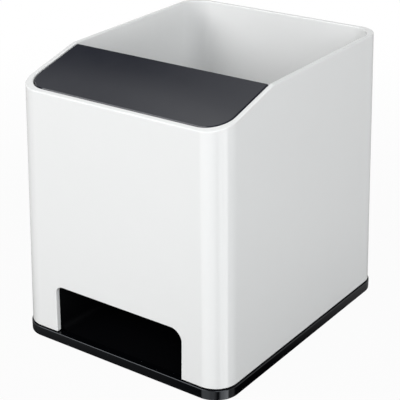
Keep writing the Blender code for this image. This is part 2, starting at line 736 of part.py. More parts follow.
clear_scene()
parts = new_collection("pen_holder")
tools = new_collection("cutters")
white_plastic = new_material("white_gloss_plastic", (0.865, 0.87, 0.865), 0.14, coat=0.4)
deck_plastic = new_material("dark_grey_plastic", (0.045, 0.047, 0.052), 0.35)
black_plastic = new_material("black_plastic", (0.010, 0.011, 0.012), 0.30)
rubber = new_material("rubber", (0.020, 0.020, 0.021), 0.80)
steel = new_material("steel", (0.55, 0.55, 0.56), 0.30, metallic=1.0)
make_base_tray(black_plastic)
make_outer_shell(white_plastic)
make_deck_panel(deck_plastic)
make_partition(deck_plastic)
make_pen_floor(black_plastic)
make_sound_horn(black_plastic)
make_screws(steel)
make_feet(rubber)
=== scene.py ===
"""Looks of the pen holder: fine meshes, finishes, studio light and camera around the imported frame.

Metres, +Z up, front (the mouth) towards -Y, as in the frame. Every mesh here stands where its CAD node
stands, with rounder corners, rounded edges and smooth faces. Nothing moves, so all of it rides on "root".
"""

import math

import bmesh
import bpy
from mathutils import Matrix, Vector


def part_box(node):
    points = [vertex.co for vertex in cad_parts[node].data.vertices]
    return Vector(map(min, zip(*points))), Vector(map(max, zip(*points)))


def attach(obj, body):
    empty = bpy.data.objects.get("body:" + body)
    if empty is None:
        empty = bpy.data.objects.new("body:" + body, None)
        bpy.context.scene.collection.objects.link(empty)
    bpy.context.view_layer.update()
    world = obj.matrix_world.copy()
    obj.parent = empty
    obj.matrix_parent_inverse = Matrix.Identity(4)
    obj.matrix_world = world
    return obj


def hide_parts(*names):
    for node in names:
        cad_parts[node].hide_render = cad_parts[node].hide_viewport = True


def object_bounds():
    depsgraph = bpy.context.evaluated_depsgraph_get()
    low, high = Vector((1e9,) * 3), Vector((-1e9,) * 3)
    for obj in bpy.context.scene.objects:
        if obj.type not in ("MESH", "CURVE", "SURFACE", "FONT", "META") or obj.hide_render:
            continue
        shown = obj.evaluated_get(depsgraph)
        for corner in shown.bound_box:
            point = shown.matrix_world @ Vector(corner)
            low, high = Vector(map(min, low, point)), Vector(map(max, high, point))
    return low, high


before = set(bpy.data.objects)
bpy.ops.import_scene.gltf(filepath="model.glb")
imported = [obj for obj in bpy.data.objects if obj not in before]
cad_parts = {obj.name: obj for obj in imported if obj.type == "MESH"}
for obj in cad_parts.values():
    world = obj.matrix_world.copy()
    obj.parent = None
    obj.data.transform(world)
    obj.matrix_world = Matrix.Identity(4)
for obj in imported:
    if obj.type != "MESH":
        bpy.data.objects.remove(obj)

CAD_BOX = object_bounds()

# Camera, fitted to the straight edges of the photograph. Here and in the light, an azimuth is in degrees from
# the front (-Y) towards +X, and an elevation in degrees above the table
IMAGE_PIXELS = 400
FOCAL_PIXELS = 1184.804
SENSOR_MM = 36.0
CAMERA_AZIMUTH = 35.701
CAMERA_ELEVATION = 23.736
CAMERA_ROLL = math.radians(-0.276)
CAMERA_DISTANCE = 0.429524
CAMERA_TARGET = (-0.002416, 0.0, 0.042904)

# Sizes that a node's box gives
BASE_LOW, BASE_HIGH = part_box("base_tray")
PARTITION_LOW, PARTITION_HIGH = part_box("partition_wall")
SCREW_LOW, SCREW_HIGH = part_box("base_screw_front_left")
HORN_SCREW_LOW, HORN_SCREW_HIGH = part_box("horn_screw_right")
FOOT_LOW, FOOT_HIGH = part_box("rubber_foot_front_left")
BASE_WIDTH = BASE_HIGH.x - BASE_LOW.x
BASE_DEPTH = BASE_HIGH.y - BASE_LOW.y

# Base tray
BASE_HEIGHT = 0.0037
BASE_CORNER = 0.0089
BASE_FLOOR = 0.0020
BASE_RIM = 0.0030
BASE_EDGE = 0.0003
BASE_STEP = 0.00045
TAB_THICKNESS = 0.0012
TAB_BERTH = 0.0040

# Shell, whose upright corners are rounder inside than its wall alone would make them
RIDGE_DROP = 0.0012
FRONT_DROP = 0.0081
WALL = 0.0018
INNER_CORNER = 0.0085
DRAFT = math.radians(1.25)
RIM_ROUNDING = 0.00035
MOUTH_WIDTH = 0.0543
MOUTH_TOP = 0.02265
MOUTH_LEFT_CORNER = 0.0030
MOUTH_RIGHT_CORNER = 0.0045

# Fits: the clearance between pieces, and how far a tool reaches past what it cuts
GAP = 0.0003
OVERRUN = 0.0050

# Deck
DECK_THICKNESS = 0.0020
DECK_RECESS = 0.0001
DECK_GAP = 0.00045
DECK_BEVEL = 0.00025
DECK_RIB_HEIGHT = 0.0040
LEDGE_WIDTH = 0.0018
LEDGE_THICKNESS = 0.0015
HOOK_WIDTH = 0.0040
HOOK_THICKNESS = 0.0012
HOOK_BARB = 0.0008
HOOK_BARB_HEIGHT = 0.0015
HOOK_BERTH = 0.0015

# Partition, pen floor and the ribs that hold them
RAIL_THICKNESS = 0.0012
RAIL_DEPTH = 0.0020
RAIL_DROP = 0.0160
PEN_FLOOR_THICKNESS = 0.0016
PEN_RIB = 0.0012
PEN_RIB_SPACING = 0.0440
PEN_RIB_BERTH = 0.0030
PHONE_STOP_HEIGHT = 0.0020
PHONE_STOP_WIDTH = 0.0020
PHONE_STOP_LENGTH = 0.0600
PHONE_SPACE = 0.0120
REAR_STOP_WIDTH = 0.0060
REAR_STOP_DEPTH = 0.0010
REAR_STOP_HEIGHT = 0.0050
REAR_STOP_FROM_BACK = 0.0160
PART_EDGE = 0.0002

# Horn
THROAT_WIDTH = 0.0300
THROAT_HEIGHT = 0.0080
THROAT_CORNER = 0.0015
THROAT_SILL = 0.0006
HORN_WALL = 0.0012
HORN_FLANGE = 0.0015
HORN_FLANGE_WIDTH = 0.0040
HORN_WEB = 0.0015
HORN_BOSS_HEIGHT = 0.0085

# Screws, their bosses and posts, and the feet
SHANK_RADIUS = 0.0012
SHANK_TIP = 0.0010
HEAD_HEIGHT = 0.0016
HEAD_DOME = 0.0005
CROSS_LENGTH = 0.0030
CROSS_WIDTH = 0.0007
CROSS_DEPTH = 0.0008
COUNTERBORE = 0.0022
BOSS_RADIUS = 0.0030
BOSS_CAP = 0.0010
POST_RADIUS = 0.0042
GUSSET = 0.0012
GUSSET_DROP = 0.0010
FOOT_RECESS = 0.0010
FOOT_EDGE = 0.0003

# Finishes: the width and detail of the clouds in a colour and of the patches of slightly unlike gloss, the
# part of the noise over which the gloss changes, and the detail of the grain
CLOUD_SIZE = 0.012
CLOUD_DETAIL = 3.0
GLOSS_PATCH_SIZE = 0.006
GLOSS_PATCH_DETAIL = 4.0
GLOSS_PATCH_SPREAD = (0.3, 0.7)
GRAIN_DETAIL = 2.0
NOISE_ROUGHNESS = 0.5

# Floor: half its width, its own grey, the distances over which the last of its shade fades into white, and how
# much of it is white to the camera nearer the object
FLOOR_HALF = 3.0
FLOOR_COLOUR = (0.30, 0.30, 0.30, 1.0)
FLOOR_SHADE_START = 0.10
FLOOR_SHADE_END = 0.40
FLOOR_WHITE_SHARE = 0.96
WHITE = (1.0, 1.0, 1.0, 1.0)

# Lamps: name, azimuth, elevation, what a white surface that faces the lamp shows, and the lamp's colour
SOFT_BOXES = (
    ("left_soft_box", -31, 33, 0.73, (1.0, 1.0, 1.0)),
    ("right_soft_box", 57, 32, 0.565, (0.98, 1.0, 1.015)),
)
SOFT_BOX_SIZE = 0.80
SOFT_BOX_DISTANCE = 1.10

# World. A height is the sine of an elevation, and a pair of heights is where a change starts and ends. A band
# at the horizon has one level towards -X and another towards +X, and fades out upwards. To the camera, in
# gloss and through clear things all of that is white up to the first backdrop height, and less and less so up
# to the second
DOME_LEVEL = 0.08
HORIZON_HEIGHTS = (0.02, 0.32)
HORIZON_LEVELS = (0.0, 2.05)
BACKDROP_HEIGHTS = (0.26, 0.50)

# Overhead boxes: azimuth, elevation, degrees from its middle to its edge and to its full light, and its level
OVERHEAD_BOXES = (
    (-109.3, 52.3, 18.9, 17, 0.40),
    (-142.7, 55.6, 20, 0, 0.87),
)

# Below the horizon, which only reflections see, because the floor hides it from all else: where this light
# gives way to the rest, a light all round that fades out downwards, and strips. Each strip has the azimuths
# where it starts, is full, starts to fade and ends, and a level
LOW_EDGE = (-0.156, -0.087)
LOW_HEIGHTS = (-0.53, -0.38)
LOW_LEVELS = (0.0, 0.6)
STRIPS = (
    (-80, -60, -38, -35, 0.10),
    (-32, -22, 2, 16, 0.2),
    (-32, -22, 24, 48, 0.85),
    (46, 63, 88, 95, 1.9),
    (63, 86, 88, 95, 0.9),
    (82, 94, 115, 130, 0.35),
)

# Facets: how many a curve has, the profile of a round edge and of a nearly flat bevel, the angle from which
# an edge is rounded, and the distance within which points are merged
CORNER_SEGMENTS = 24
ROUND_SEGMENTS = 48
EDGE_SEGMENTS = 4
HORN_STATIONS = 33
HORN_CORNER_SEGMENTS = 8
ROUND_PROFILE = 0.5
FLAT_PROFILE = 0.25
EDGE_ANGLE = math.radians(40)
MERGE_DISTANCE = 0.000005

# The Mix node's sockets: its share, and for each kind of value the first, the second and the result
MIX_SHARE = 0
MIX_SOCKETS = {"FLOAT": (2, 3, 0), "RGBA": (6, 7, 2)}

# Worked out from the sizes above
SHELL_WIDTH = BASE_WIDTH - 2 * BASE_STEP
SHELL_DEPTH = BASE_DEPTH - 2 * BASE_STEP
SHELL_CORNER = BASE_CORNER - BASE_STEP
FOOT_REVEAL = BASE_LOW.z
BASE_TOP = BASE_LOW.z + BASE_HEIGHT
BASE_INSIDE = BASE_LOW.z + BASE_FLOOR
TAB_TOP = BASE_HIGH.z
SHELL_FLOOR = BASE_TOP + GAP
HEIGHT = CAD_BOX[1][2]
RIDGE_HEIGHT = HEIGHT - RIDGE_DROP
FRONT_HEIGHT = RIDGE_HEIGHT - FRONT_DROP
PARTITION_FRONT, PARTITION_BACK = PARTITION_LOW.y, PARTITION_HIGH.y
RIDGE_Y = PARTITION_BACK + GAP
HEAD_RADIUS = (SCREW_HIGH.x - SCREW_LOW.x) / 2
HEAD_BEARING = SCREW_LOW.z + HEAD_HEIGHT
SHANK_END = SCREW_HIGH.z
BOSS_TOP = SHANK_END + GAP + BOSS_CAP
BOSS_X = -(SCREW_LOW.x + SCREW_HIGH.x) / 2
BOSS_Y = -(SCREW_LOW.y + SCREW_HIGH.y) / 2
BOSS_INSET = SHELL_WIDTH / 2 - WALL - BOSS_X
PEN_FLOOR_LOW = BOSS_TOP + GAP
PEN_FLOOR_TOP = PEN_FLOOR_LOW + PEN_FLOOR_THICKNESS
RAIL_FRONT = PARTITION_FRONT - GAP - RAIL_THICKNESS
RAIL_BACK = PARTITION_BACK + GAP + RAIL_THICKNESS
DECK_LOW = -DECK_RECESS - DECK_THICKNESS
LEDGE_TOP = DECK_LOW - GAP
LEDGE_LOW = LEDGE_TOP - LEDGE_THICKNESS
BARB_TOP = LEDGE_LOW - GAP
THROAT_LOW = PEN_FLOOR_TOP + THROAT_SILL
HORN_BACK = PARTITION_FRONT - GAP
HORN_FRONT = BASE_RIM + GAP - BASE_DEPTH / 2
HORN_MOUTH_LOW = BASE_INSIDE + GAP + HORN_WALL
HORN_MOUTH_TOP = MOUTH_TOP + GAP
HORN_MOUTH_WIDTH = MOUTH_WIDTH + 2 * GAP
HORN_MOUTH_CORNER = min(MOUTH_LEFT_CORNER, MOUTH_RIGHT_CORNER)
HORN_SCREW_X = (HORN_SCREW_LOW.x + HORN_SCREW_HIGH.x) / 2
HORN_SCREW_Y = (HORN_SCREW_LOW.y + HORN_SCREW_HIGH.y) / 2
FOOT_RADIUS = (FOOT_HIGH.x - FOOT_LOW.x) / 2
FOOT_X = -(FOOT_LOW.x + FOOT_HIGH.x) / 2
FOOT_Y = -(FOOT_LOW.y + FOOT_HIGH.y) / 2
BEYOND = BASE_DEPTH

CORNER_NAMES = ("front_left", "front_right", "back_left", "back_right")
tool_names = []


def direction_to(azimuth, elevation):
    """The direction at an azimuth and an elevation, both in degrees."""
    azimuth, elevation = math.radians(azimuth), math.radians(elevation)
    flat = math.cos(elevation)
    return Vector((math.sin(azimuth) * flat, -math.cos(azimuth) * flat, math.sin(elevation)))


def lean(z):
    """How far the drafted walls have moved in at a height."""
    return (z - SHELL_FLOOR) * math.tan(DRAFT)


def front_slope():
    """The angle of the rim and the deck in front of the ridge."""
    front_y = lean(FRONT_HEIGHT) - SHELL_DEPTH / 2
    return math.atan2(RIDGE_HEIGHT - FRONT_HEIGHT, RIDGE_Y - front_y)


def back_slope():
    """The angle of the rim behind the ridge."""
    back_y = SHELL_DEPTH / 2 - lean(HEIGHT)
    return math.atan2(HEIGHT - RIDGE_HEIGHT, back_y - RIDGE_Y)


def ridge_frame():
    """A frame on the ridge line whose XY plane is the rim in front of it."""
    return Matrix.Translation((0, RIDGE_Y, RIDGE_HEIGHT)) @ Matrix.Rotation(front_slope(), 4, "X")


def mesh_from(bm, name):
    """A mesh of what has been built so far, with its faces turned outwards."""
    bmesh.ops.recalc_face_normals(bm, faces=bm.faces)
    mesh = bpy.data.meshes.new(name)
    bm.to_mesh(mesh)
    bm.free()
    return mesh


def blank_from(bm, name):
    """A shape that is still to be cut, or that only cuts or joins; finished_mesh removes it."""
    obj = bpy.data.objects.new(name, mesh_from(bm, name))
    bpy.context.scene.collection.objects.link(obj)
    tool_names.append(obj.name)
    return obj


def add_box(bm, low, high):
    """A box between two corners; returns its vertices."""
    low, high = Vector(low), Vector(high)
    place = Matrix.Translation((low + high) / 2) @ Matrix.Diagonal((*(high - low), 1))
    return bmesh.ops.create_cube(bm, size=1, matrix=place)["verts"]


def add_cylinder(bm, x, y, low, high, radius):
    """An upright cylinder between two heights."""
    place = Matrix.Translation((x, y, (low + high) / 2))
    bmesh.ops.create_cone(
        bm, cap_ends=True, segments=ROUND_SEGMENTS, radius1=radius, radius2=radius,
        depth=high - low, matrix=place,
    )


def round_off(bm, edges, radius, segments):
    """Round some edges of what is being built."""
    bmesh.ops.bevel(
        bm, geom=edges, offset=radius, segments=segments, profile=ROUND_PROFILE, affect="EDGES"
    )


def rounded_block(width, depth, corner, low, high, draft=0.0):
    """A block with rounded upright edges, whose sides lean in from its size at the shell's floor."""
    bm = bmesh.new()
    verts = add_box(bm, (-width / 2, -depth / 2, low), (width / 2, depth / 2, high))
    for vert in verts:
        inward = (vert.co.z - SHELL_FLOOR) * math.tan(draft)
        vert.co.x -= math.copysign(inward, vert.co.x)
        vert.co.y -= math.copysign(inward, vert.co.y)
    upright = [e for e in bm.edges if abs(e.verts[0].co.z - e.verts[1].co.z) > GAP]
    round_off(bm, upright, corner, CORNER_SEGMENTS)
    return bm


def shell_form(inset, low, high):
    """The shell's outer form between two heights or, with an inset, the rounder form that far inside it."""
    width, depth = SHELL_WIDTH - 2 * inset, SHELL_DEPTH - 2 * inset
    corner = INNER_CORNER + WALL - inset if inset > 0 else SHELL_CORNER
    return rounded_block(width, depth, corner, low, high, DRAFT)


def box_tool(name, low, high, place=None):
    """A box between two corners as a tool, in a frame of its own where place gives one."""
    bm = bmesh.new()
    add_box(bm, low, high)
    if place is not None:
        bmesh.ops.transform(bm, matrix=place, verts=bm.verts)
    return blank_from(bm, name)


def boolean(obj, tool, operation):
    """Cut an object with a tool, join the tool to it, or keep what they share."""
    modifier = obj.modifiers.new(tool.name, "BOOLEAN")
    modifier.object = tool
    modifier.operation = operation
    modifier.solver = "EXACT"


def round_edges(obj, width, profile=ROUND_PROFILE):
    """Round the sharp edges that the object has at this point of its modifiers."""
    modifier = obj.modifiers.new("rounded_edges", "BEVEL")
    modifier.width = width
    modifier.segments = EDGE_SEGMENTS
    modifier.profile = profile
    modifier.limit_method = "ANGLE"
    modifier.angle_limit = EDGE_ANGLE


def inside_shell(name, clearance):
    """The room inside the shell's walls, less a clearance all round, as a tool."""
    return blank_from(shell_form(WALL + clearance, -OVERRUN, HEIGHT + OVERRUN), name)


def wall_rail(name, low, high, proud, place=None):
    """Ribs inside the shell: what of a box lies between the walls and a line that stands proud of them."""
    rail = box_tool(name, low, high, place)
    boolean(rail, inside_shell(name + "_in_wall", -WALL / 2), "INTERSECT")
    boolean(rail, inside_shell(name + "_clear", proud), "DIFFERENCE")
    return rail


def piece_from(mesh, node, material, place=(0, 0, 0)):
    """A finished mesh as the piece that stands for a CAD node."""
    mesh.materials.clear()
    mesh.materials.append(material)
    piece = bpy.data.objects.new(node + "_fine", mesh)
    piece.location = place
    bpy.context.scene.collection.objects.link(piece)
    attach(piece, "root")
    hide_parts(node)
    return piece


def finished_mesh(blank, name):
    """The mesh that a blank's modifiers make, with smooth faces between its sharp edges."""
    weigh = blank.modifiers.new("face_weighted_normals", "WEIGHTED_NORMAL")
    weigh.keep_sharp = True
    blank.data.shade_smooth()
    bpy.context.view_layer.update()
    evaluated = blank.evaluated_get(bpy.context.evaluated_depsgraph_get())
    mesh = bpy.data.meshes.new_from_object(evaluated)
    mesh.name = name
    for tool_name in tool_names:
        bpy.data.objects.remove(bpy.data.objects[tool_name])
    tool_names.clear()
    return mesh


def boss_places():
    """Where the four screws of the shell stand, in the order of the corners' names."""
    return [(x, y) for y in (-BOSS_Y, BOSS_Y) for x in (-BOSS_X, BOSS_X)]


def horn_screw_places():
    """Where the horn's two screws stand, left and right."""
    return [(-HORN_SCREW_X, HORN_SCREW_Y), (HORN_SCREW_X, HORN_SCREW_Y)]


def foot_places():
    """Where the four feet stand, in the order of the corners' names."""
    return [(x, y) for y in (-FOOT_Y, FOOT_Y) for x in (-FOOT_X, FOOT_X)]


def above_rim():
    """Everything above the rim, which is one plane in front of the ridge and another behind it."""
    bm = bmesh.new()
    add_box(bm, (-BEYOND, -BEYOND, RIDGE_HEIGHT), (BEYOND, BEYOND, HEIGHT + BEYOND))
    box = bm.verts[:] + bm.edges[:] + bm.faces[:]
    bmesh.ops.bisect_plane(bm, geom=box, plane_co=(0, RIDGE_Y, 0), plane_no=(0, 1, 0))
    for vert in bm.verts:
        if vert.co.z < RIDGE_HEIGHT + GAP:
            slope = front_slope() if vert.co.y < RIDGE_Y else back_slope()
            vert.co.z += (vert.co.y - RIDGE_Y) * math.tan(slope)
    return blank_from(bm, "above_rim")


def mouth_tool():
    """The mouth's outline, open downwards, through the front wall."""
    bm = bmesh.new()
    half = MOUTH_WIDTH / 2
    front = -SHELL_DEPTH / 2 - OVERRUN
    back = -SHELL_DEPTH / 2 + WALL + OVERRUN
    add_box(bm, (-half, front, SHELL_FLOOR - OVERRUN), (half, back, MOUTH_TOP))
    for side, radius in ((-1, MOUTH_LEFT_CORNER), (1, MOUTH_RIGHT_CORNER)):
        corner = [v for v in bm.verts if v.co.z > SHELL_FLOOR and v.co.x * side > half - GAP]
        edges = [e for e in bm.edges if all(v in corner for v in e.verts)]
        round_off(bm, edges, radius, CORNER_SEGMENTS)
    return blank_from(bm, "mouth_opening")


def shell_bosses():
    """The posts in the shell's corners that its screws go up into."""
    bm = bmesh.new()
    for x, y in boss_places():
        add_cylinder(bm, x, y, SHELL_FLOOR, BOSS_TOP, BOSS_RADIUS)
    return blank_from(bm, "shell_bosses")


def shell_gussets():
    """Thin webs that tie each screw boss to the two walls of its corner."""
    bm = bmesh.new()
    low, high = SHELL_FLOOR + GUSSET_DROP, BOSS_TOP - GUSSET_DROP
    start, reach = BOSS_RADIUS - GUSSET / 2, BOSS_INSET + WALL / 2
    for x, y in boss_places():
        side_x, side_y = math.copysign(1, x), math.copysign(1, y)
        ends = sorted((x + side_x * start, x + side_x * reach))
        add_box(bm, (ends[0], y - GUSSET / 2, low), (ends[1], y + GUSSET / 2, high))
        ends = sorted((y + side_y * start, y + side_y * reach))
        add_box(bm, (x - GUSSET / 2, ends[0], low), (x + GUSSET / 2, ends[1], high))
    return blank_from(bm, "shell_gussets")


def screw_bores(name, places):
    """Blind bores for the screws' shanks, open downwards."""
    bm = bmesh.new()
    for x, y in places:
        add_cylinder(bm, x, y, SHELL_FLOOR - OVERRUN, SHANK_END + GAP, SHANK_RADIUS + GAP)
    return blank_from(bm, name)


def deck_ledge():
    """The shelf that the deck rests on, round the shell's front and along its sides."""
    low = (-BEYOND, -BEYOND, LEDGE_LOW)
    high = (BEYOND, RAIL_FRONT - RIDGE_Y, LEDGE_TOP)
    return wall_rail("deck_ledge", low, high, LEDGE_WIDTH, ridge_frame())


def partition_rails(name, front, back):
    """A pair of upright ribs, one on each side wall."""
    low = (-BEYOND, front, PEN_FLOOR_TOP + GAP)
    high = (BEYOND, back, RIDGE_HEIGHT - RAIL_DROP)
    return wall_rail(name, low, high, RAIL_DEPTH)


def rear_stops():
    """Short ribs on the side walls that keep the pen floor from lifting at the back."""
    back = SHELL_DEPTH / 2 - REAR_STOP_FROM_BACK
    low = PEN_FLOOR_TOP + GAP
    return wall_rail(
        "rear_stops", (-BEYOND, back - REAR_STOP_WIDTH, low), (BEYOND, back, low + REAR_STOP_HEIGHT),
        REAR_STOP_DEPTH,
    )


def make_outer_shell(material):
    """The white shell: its walls with the mouth, then what stands inside them."""
    shell = blank_from(shell_form(0, SHELL_FLOOR, HEIGHT + OVERRUN), "shell_blank")
    boolean(shell, above_rim(), "DIFFERENCE")
    cavity = shell_form(WALL, SHELL_FLOOR - OVERRUN, HEIGHT + 2 * OVERRUN)
    boolean(shell, blank_from(cavity, "cavity"), "DIFFERENCE")
    boolean(shell, mouth_tool(), "DIFFERENCE")
    round_edges(shell, RIM_ROUNDING)
    boolean(shell, shell_bosses(), "UNION")
    boolean(shell, shell_gussets(), "UNION")
    boolean(shell, deck_ledge(), "UNION")
    boolean(shell, partition_rails("rails_front", RAIL_FRONT, PARTITION_FRONT - GAP), "UNION")
    boolean(shell, partition_rails("rails_back", PARTITION_BACK + GAP, RAIL_BACK), "UNION")
    boolean(shell, rear_stops(), "UNION")
    boolean(shell, screw_bores("shell_bores", boss_places()), "DIFFERENCE")
    return piece_from(finished_mesh(shell, "outer_shell"), "outer_shell", material)


def hook_reach():
    """How far from the middle the hooks' outer faces stand."""
    return SHELL_WIDTH / 2 - WALL - lean(RIDGE_HEIGHT) - LEDGE_WIDTH - GAP


def hook_places():
    """The front edge of each hook in the deck's sloping frame, and its side."""
    front = (SHELL_CORNER + WALL - SHELL_DEPTH / 2 - RIDGE_Y) / math.cos(front_slope()) + HOOK_BERTH
    back = RAIL_FRONT - RIDGE_Y - HOOK_BERTH - HOOK_WIDTH
    return [(y, side) for y in (front, back) for side in (-1, 1)]


def deck_hooks():
    """Four legs that reach down past the shell's ledge."""
    bm = bmesh.new()
    low, high = BARB_TOP - HOOK_BARB_HEIGHT, DECK_LOW + DECK_THICKNESS / 2
    for y, side in hook_places():
        x = sorted((side * (hook_reach() - HOOK_THICKNESS), side * hook_reach()))
        add_box(bm, (x[0], y, low), (x[1], y + HOOK_WIDTH, high))
    bmesh.ops.transform(bm, matrix=ridge_frame(), verts=bm.verts)
    return blank_from(bm, "deck_hooks")


def deck_barbs():
    """The wedge on each hook, flat where it catches under the ledge and sloping below."""
    bm = bmesh.new()
    inset = HOOK_THICKNESS / 4
    for y, side in hook_places():
        x = sorted((side * (hook_reach() - HOOK_THICKNESS / 2), side * (hook_reach() + HOOK_BARB)))
        low = (x[0], y + inset, BARB_TOP - HOOK_BARB_HEIGHT + inset)
        verts = add_box(bm, low, (x[1], y + HOOK_WIDTH - inset, BARB_TOP))
        for vert in verts:
            if vert.co.z < BARB_TOP - inset and abs(vert.co.x) > hook_reach():
                vert.co.x = side * (hook_reach() - inset)
    bmesh.ops.transform(bm, matrix=ridge_frame(), verts=bm.verts)
    return blank_from(bm, "deck_barbs")


def deck_rib():
    """A stiffening rib across the deck's underside, just in front of the partition's top."""
    slope = front_slope()
    half = hook_reach() - HOOK_THICKNESS - GAP
    back = PARTITION_FRONT - GAP
    surface = RIDGE_HEIGHT - (RIDGE_Y - back) * math.tan(slope)
    low = surface + DECK_LOW / math.cos(slope) - DECK_RIB_HEIGHT
    high = surface + (DECK_LOW + DECK_THICKNESS / 2) / math.cos(slope)
    return box_tool("deck_rib", (-half, back - RAIL_THICKNESS, low), (half, back, high))


def make_deck_panel(material):
    """The sloping deck, let into the shell, with its hooks and its rib."""
    bm = bmesh.new()
    add_box(bm, (-BEYOND, -BEYOND, DECK_LOW), (BEYOND, 0, -DECK_RECESS))
    bmesh.ops.transform(bm, matrix=ridge_frame(), verts=bm.verts)
    deck = blank_from(bm, "deck_blank")
    boolean(deck, inside_shell("deck_outline", DECK_GAP), "INTERSECT")
    round_edges(deck, DECK_BEVEL, FLAT_PROFILE)
    boolean(deck, deck_hooks(), "UNION")
    boolean(deck, deck_barbs(), "UNION")
    boolean(deck, deck_rib(), "UNION")
    return piece_from(finished_mesh(deck, "deck_panel"), "deck_panel", material)


def partition_foot():
    """The narrower lower edge that stands inside the tray's rim and runs on a little into the wall above."""
    half = BASE_WIDTH / 2 - BASE_RIM - GAP
    overlap = PARTITION_BACK - PARTITION_FRONT
    low = (-half, PARTITION_FRONT, BASE_INSIDE + GAP)
    high = (half, PARTITION_BACK, SHELL_FLOOR + overlap)
    return box_tool("partition_foot", low, high)


def make_partition(material):
    """The upright wall under the deck's back edge, with the sound window at its foot."""
    bm = bmesh.new()
    add_box(bm, (-BEYOND, PARTITION_FRONT, SHELL_FLOOR), (BEYOND, PARTITION_BACK, RIDGE_HEIGHT))
    partition = blank_from(bm, "partition_blank")
    boolean(partition, inside_shell("partition_outline", GAP), "INTERSECT")
    boolean(partition, partition_foot(), "UNION")
    deck_room = box_tool(
        "deck_room", (-BEYOND, -BEYOND, LEDGE_TOP), (BEYOND, BEYOND, BEYOND), ridge_frame()
    )
    boolean(partition, deck_room, "DIFFERENCE")
    window = box_tool(
        "sound_window",
        (-THROAT_WIDTH / 2, PARTITION_FRONT - OVERRUN, THROAT_LOW),
        (THROAT_WIDTH / 2, PARTITION_BACK + OVERRUN, THROAT_LOW + THROAT_HEIGHT),
    )
    boolean(partition, window, "DIFFERENCE")
    round_edges(partition, PART_EDGE)
    return piece_from(finished_mesh(partition, "partition_wall"), "partition_wall", material)


def pen_floor_ribs():
    """Two long ribs that stand on the base tray."""
    bm = bmesh.new()
    front = PARTITION_BACK + GAP + PEN_RIB_BERTH
    back = SHELL_DEPTH / 2 - WALL - TAB_THICKNESS - PEN_RIB_BERTH
    for x in (-PEN_RIB_SPACING / 2, PEN_RIB_SPACING / 2):
        low = (x - PEN_RIB / 2, front, BASE_INSIDE + GAP)
        add_box(bm, low, (x + PEN_RIB / 2, back, PEN_FLOOR_LOW + PEN_FLOOR_THICKNESS / 2))
    return blank_from(bm, "pen_floor_ribs")


def phone_stop():
    """A low ridge that keeps a phone's lower edge at the window."""
    front = PARTITION_BACK + PHONE_SPACE
    low = (-PHONE_STOP_LENGTH / 2, front, PEN_FLOOR_LOW + PEN_FLOOR_THICKNESS / 2)
    high = (PHONE_STOP_LENGTH / 2, front + PHONE_STOP_WIDTH, PEN_FLOOR_TOP + PHONE_STOP_HEIGHT)
    return box_tool("phone_stop", low, high)


def make_pen_floor(material):
    """The compartment's floor, on ribs, with the ridge for a phone."""
    bm = bmesh.new()
    add_box(bm, (-BEYOND, PARTITION_BACK + GAP, PEN_FLOOR_LOW), (BEYOND, BEYOND, PEN_FLOOR_TOP))
    floor = blank_from(bm, "pen_floor_blank")
    boolean(floor, inside_shell("pen_floor_outline", GAP), "INTERSECT")
    boolean(floor, pen_floor_ribs(), "UNION")
    boolean(floor, phone_stop(), "UNION")
    round_edges(floor, PART_EDGE)
    return piece_from(finished_mesh(floor, "pen_floor"), "pen_floor", material)


def horn_section(share, outward):
    """The duct's outline at a share of the way from its throat to its mouth, moved outward by a wall."""
    throat_middle = THROAT_LOW + THROAT_HEIGHT / 2
    mouth_middle = (HORN_MOUTH_LOW + HORN_MOUTH_TOP) / 2
    mouth_height = HORN_MOUTH_TOP - HORN_MOUTH_LOW
    half_width = THROAT_WIDTH / 2 * (HORN_MOUTH_WIDTH / THROAT_WIDTH) ** share + outward
    half_height = THROAT_HEIGHT / 2 * (mouth_height / THROAT_HEIGHT) ** share + outward
    corner = THROAT_CORNER + (HORN_MOUTH_CORNER - THROAT_CORNER) * share + outward
    middle = throat_middle + (mouth_middle - throat_middle) * share
    points = []
    for quarter, (side_x, side_z) in enumerate(((1, 1), (-1, 1), (-1, -1), (1, -1))):
        for step in range(HORN_CORNER_SEGMENTS + 1):
            angle = math.pi / 2 * (quarter + step / HORN_CORNER_SEGMENTS)
            x = side_x * (half_width - corner) + corner * math.cos(angle)
            z = middle + side_z * (half_height - corner) + corner * math.sin(angle)
            points.append((x, z))
    return points


def add_duct(bm, outward, front_run, back_run):
    """A closed loft along the horn, run on straight past its two ends."""
    shares = [station / (HORN_STATIONS - 1) for station in range(HORN_STATIONS)]
    stations = [(HORN_BACK + (HORN_FRONT - HORN_BACK) * share, share) for share in shares]
    if back_run:
        stations.insert(0, (HORN_BACK + back_run, 0))
    if front_run:
        stations.append((HORN_FRONT - front_run, 1))
    rings = []
    for y, share in stations:
        rings.append([bm.verts.new((x, y, z)) for x, z in horn_section(share, outward)])
    for near, far in zip(rings, rings[1:]):
        for i, corner in enumerate(near):
            bm.faces.new((corner, near[i - 1], far[i - 1], far[i]))
    bm.faces.new(rings[0])
    bm.faces.new(reversed(rings[-1]))


def horn_flanges():
    """The plate behind the front wall round the mouth, and the one on the partition round the throat."""
    bm = bmesh.new()
    half = HORN_MOUTH_WIDTH / 2 + HORN_FLANGE_WIDTH
    front = -SHELL_DEPTH / 2
    back = front + WALL + lean(HORN_MOUTH_TOP + HORN_FLANGE_WIDTH) + GAP + HORN_FLANGE
    add_box(bm, (-half, front, SHELL_FLOOR), (half, back, HORN_MOUTH_TOP + HORN_FLANGE_WIDTH))
    half = THROAT_WIDTH / 2 + HORN_FLANGE_WIDTH
    low = THROAT_LOW - HORN_FLANGE_WIDTH
    high = THROAT_LOW + THROAT_HEIGHT + HORN_FLANGE_WIDTH
    add_box(bm, (-half, HORN_BACK - HORN_FLANGE, low), (half, HORN_BACK, high))
    return blank_from(bm, "horn_flanges")


